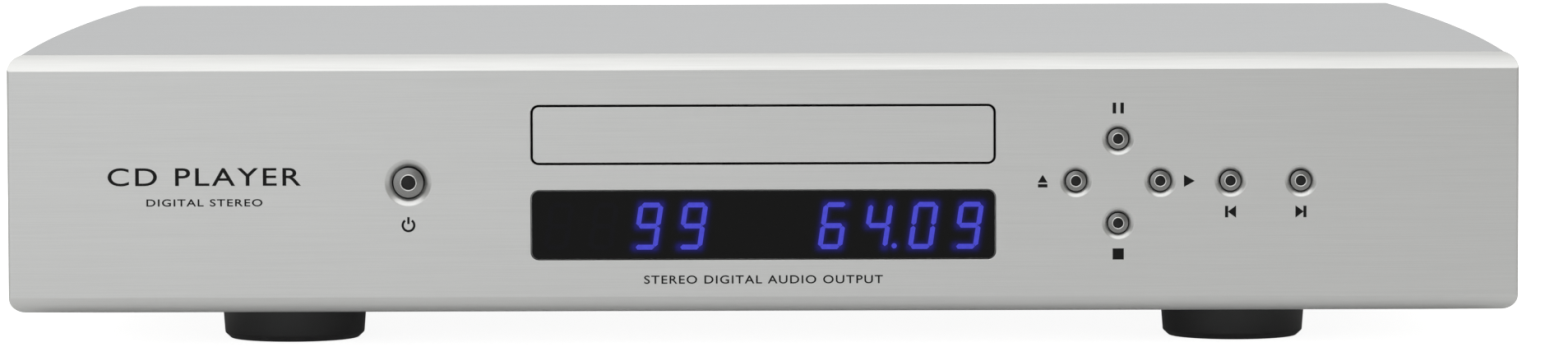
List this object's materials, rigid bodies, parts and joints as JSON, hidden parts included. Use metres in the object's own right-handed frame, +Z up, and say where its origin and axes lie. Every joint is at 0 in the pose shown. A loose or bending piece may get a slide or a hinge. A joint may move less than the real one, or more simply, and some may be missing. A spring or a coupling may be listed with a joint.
{
  "type": "cd player",
  "caption": "Full-width hi-fi CD player with an aluminium case, sliding disc drawer, blue digit display, round push buttons and a clamping disc drive.",
  "frame": {"origin": "on the floor under the middle of the player's overall box", "axes": "+Z up, front faces -Y, +X to the right seen from the front"},
  "size_m": [0.43, 0.375, 0.0848],
  "materials": {
    "brushed_aluminium": "fine horizontal brushing, clear anodised",
    "plated_steel": "zinc plated sheet",
    "bare_steel": "bare bright steel",
    "black_plastic": "fine moulded texture",
    "smoked_acrylic": "polished smoked acrylic",
    "black_rubber": "satin black rubber",
    "tray_plastic": "dark moulded plastic",
    "white_acetal": "smooth white acetal",
    "circuit_board": "green solder mask",
    "blue_display": "blue lit segments",
    "wound_transformer": "taped copper winding",
    "gold_plating": "gold plated contacts",
    "lens_glass": "coated lens"
  },
  "bodies": {
    "case": {"front_panel": "brushed_aluminium", "top_cover": "brushed_aluminium", "side_left": "brushed_aluminium", "side_right": "brushed_aluminium", "base_plate": "plated_steel", "rear_panel": "plated_steel", "foot_front_left": "black_rubber", "foot_front_right": "black_rubber", "foot_rear_left": "black_rubber", "foot_rear_right": "black_rubber", "display_window": "smoked_acrylic", "display_module": "blue_display", "display_board": "circuit_board", "button_board": "circuit_board", "power_board": "circuit_board", "loader_base": "tray_plastic", "drive_belt": "black_rubber", "loading_motor": "bare_steel", "clamp_bridge": "tray_plastic", "toroidal_transformer": "wound_transformer", "transformer_clamp": "bare_steel", "supply_board": "circuit_board", "audio_board": "circuit_board", "mains_inlet": "black_plastic", "mains_switch": "black_plastic", "analog_socket_right": "gold_plating", "analog_socket_left": "gold_plating", "digital_socket": "gold_plating"},
    "drawer": {"tray": "tray_plastic", "tray_door": "brushed_aluminium", "tray_rack": "tray_plastic"},
    "drive_gear": {"drive_gear": "white_acetal"},
    "pulley_gear": {"pulley_gear": "white_acetal"},
    "motor_pulley": {"motor_pulley": "white_acetal"},
    "traverse": {"lift_frame": "tray_plastic", "grommet_front_left": "black_rubber", "grommet_front_right": "black_rubber", "grommet_rear_left": "black_rubber", "grommet_rear_right": "black_rubber", "traverse_plate": "bare_steel", "spindle_motor": "bare_steel", "guide_rod_left": "bare_steel", "guide_rod_right": "bare_steel", "sled_motor": "bare_steel"},
    "cam_slider": {"cam_slider": "white_acetal"},
    "turntable": {"turntable": "black_plastic"},
    "clamp_puck": {"clamp_puck": "bare_steel"},
    "pickup": {"optical_pickup": "black_plastic", "objective_lens": "lens_glass"},
    "sled_gear": {"sled_gear": "white_acetal"},
    "mains_rocker": {"mains_rocker": "black_plastic"},
    "button_power": {"button_power": "brushed_aluminium"},
    "button_eject": {"button_eject": "brushed_aluminium"},
    "button_play": {"button_play": "brushed_aluminium"},
    "button_pause": {"button_pause": "brushed_aluminium"},
    "button_stop": {"button_stop": "brushed_aluminium"},
    "button_previous": {"button_previous": "brushed_aluminium"},
    "button_next": {"button_next": "brushed_aluminium"}
  },
  "joints": [
    {"name": "tray_slide", "type": "slide", "parent": "case", "child": "drawer", "axis": [0, -1, 0], "range_m": [0, 0.136]},
    {"name": "drive_gear_turn", "type": "hinge", "parent": "case", "child": "drive_gear", "pos_m": [-0.0483, -0.158, 0.045], "axis": [0, 0, 1], "range_deg": [-1, 781]},
    {"name": "pulley_gear_turn", "type": "hinge", "parent": "case", "child": "pulley_gear", "pos_m": [-0.0483, -0.142, 0.04], "axis": [0, 0, 1], "range_deg": [-1300, 1]},
    {"name": "motor_pulley_turn", "type": "hinge", "parent": "case", "child": "motor_pulley", "pos_m": [-0.0483, -0.104, 0.034], "axis": [0, 0, 1], "range_deg": [-2900, 1]},
    {"name": "traverse_lift", "type": "hinge", "parent": "case", "child": "traverse", "pos_m": [0, -0.035, 0.04], "axis": [1, 0, 0], "range_deg": [0, 6]},
    {"name": "cam_slide", "type": "slide", "parent": "case", "child": "cam_slider", "axis": [1, 0, 0], "range_m": [0, 0.0141]},
    {"name": "spindle_turn", "type": "hinge", "parent": "traverse", "child": "turntable", "pos_m": [0, -0.1195, 0.055], "axis": [0, 0, 1], "continuous": true},
    {"name": "clamp_turn", "type": "hinge", "parent": "case", "child": "clamp_puck", "pos_m": [0, -0.1195, 0.07], "axis": [0, 0, 1], "continuous": true},
    {"name": "pickup_slide", "type": "slide", "parent": "traverse", "child": "pickup", "axis": [0, 1, 0], "range_m": [0, 0.035]},
    {"name": "sled_gear_turn", "type": "hinge", "parent": "traverse", "child": "sled_gear", "pos_m": [0.02975, -0.078, 0.0517], "axis": [0, 0, 1], "range_deg": [-335, 1]},
    {"name": "mains_rocker_tilt", "type": "hinge", "parent": "case", "child": "mains_rocker", "pos_m": [-0.112, 0.1779, 0.044], "axis": [0, 0, 1], "range_deg": [0, 16]},
    {"name": "button_power_press", "type": "slide", "parent": "case", "child": "button_power", "axis": [0, 1, 0], "range_m": [0, 0.001], "stiffness_N_per_m": 400},
    {"name": "button_eject_press", "type": "slide", "parent": "case", "child": "button_eject", "axis": [0, 1, 0], "range_m": [0, 0.001], "stiffness_N_per_m": 400},
    {"name": "button_play_press", "type": "slide", "parent": "case", "child": "button_play", "axis": [0, 1, 0], "range_m": [0, 0.001], "stiffness_N_per_m": 400},
    {"name": "button_pause_press", "type": "slide", "parent": "case", "child": "button_pause", "axis": [0, 1, 0], "range_m": [0, 0.001], "stiffness_N_per_m": 400},
    {"name": "button_stop_press", "type": "slide", "parent": "case", "child": "button_stop", "axis": [0, 1, 0], "range_m": [0, 0.001], "stiffness_N_per_m": 400},
    {"name": "button_previous_press", "type": "slide", "parent": "case", "child": "button_previous", "axis": [0, 1, 0], "range_m": [0, 0.001], "stiffness_N_per_m": 400},
    {"name": "button_next_press", "type": "slide", "parent": "case", "child": "button_next", "axis": [0, 1, 0], "range_m": [0, 0.001], "stiffness_N_per_m": 400}
  ],
  "couplings": [
    {"joint": "drive_gear_turn", "follows": "tray_slide", "rad_per_m": 100},
    {"joint": "pulley_gear_turn", "follows": "tray_slide", "rad_per_m": -166.67},
    {"joint": "motor_pulley_turn", "follows": "tray_slide", "rad_per_m": -371.79},
    {"joint": "cam_slide", "follows": "traverse_lift", "m_per_rad": 0.13369},
    {"joint": "clamp_turn", "follows": "spindle_turn", "ratio": 1},
    {"joint": "sled_gear_turn", "follows": "pickup_slide", "rad_per_m": -166.67}
  ]
}
